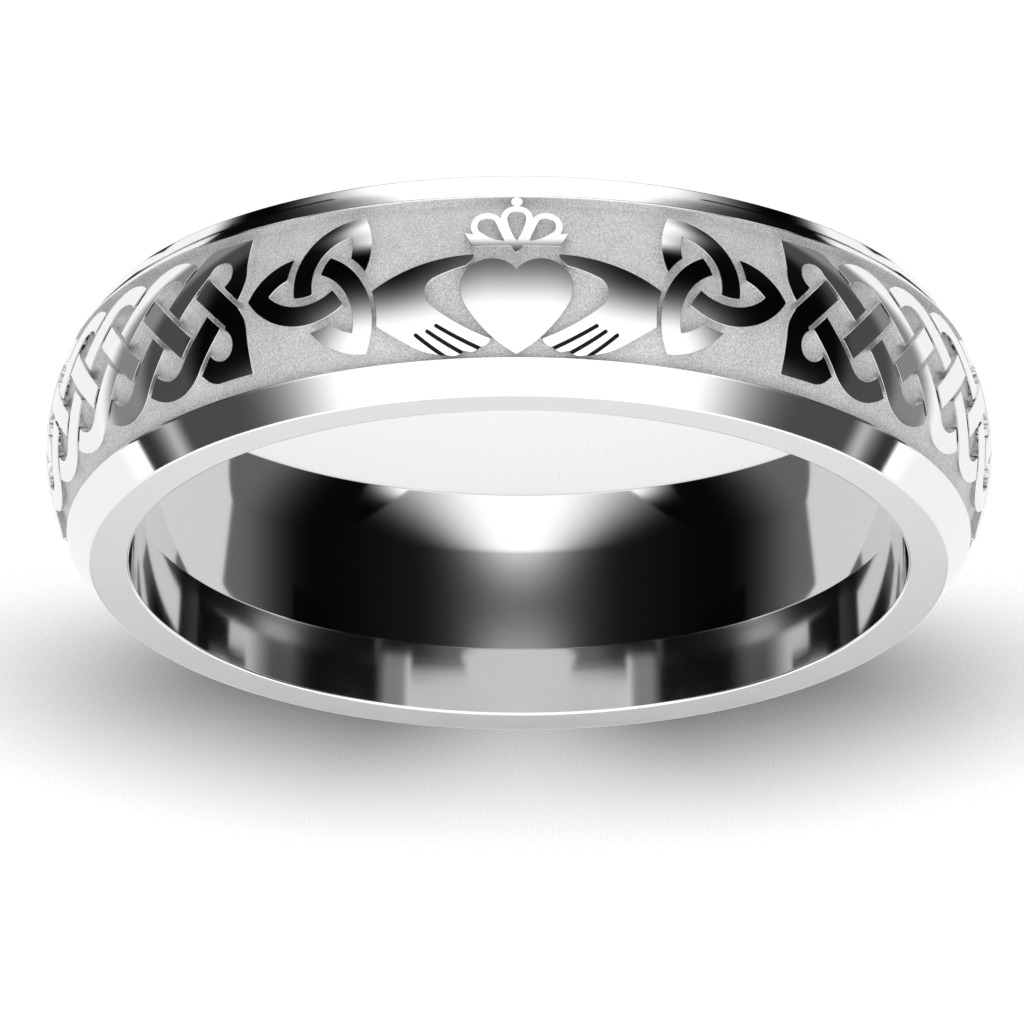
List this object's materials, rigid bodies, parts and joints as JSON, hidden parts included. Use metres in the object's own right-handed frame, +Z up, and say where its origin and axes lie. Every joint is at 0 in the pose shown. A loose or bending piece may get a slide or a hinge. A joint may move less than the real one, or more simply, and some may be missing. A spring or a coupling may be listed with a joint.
{
  "type": "claddagh ring",
  "caption": "Finger ring with a comfort-fit bore, bevelled rims and a sunk channel holding a crowned heart between two hands, trinity knots and a plait.",
  "frame": {"origin": "on the finger's axis, at the rim the ring lies on", "axes": "+Z up along the finger's axis; -Y towards the heart; +X towards the hand on the right when the ring is seen from the front with the heart's point down"},
  "size_m": [0.0238, 0.0237, 0.006],
  "materials": {
    "metal": "mirror polish, with a sandblasted channel and satin rims"
  },
  "bodies": {
    "root": {"ring": "metal"}
  },
  "joints": []
}
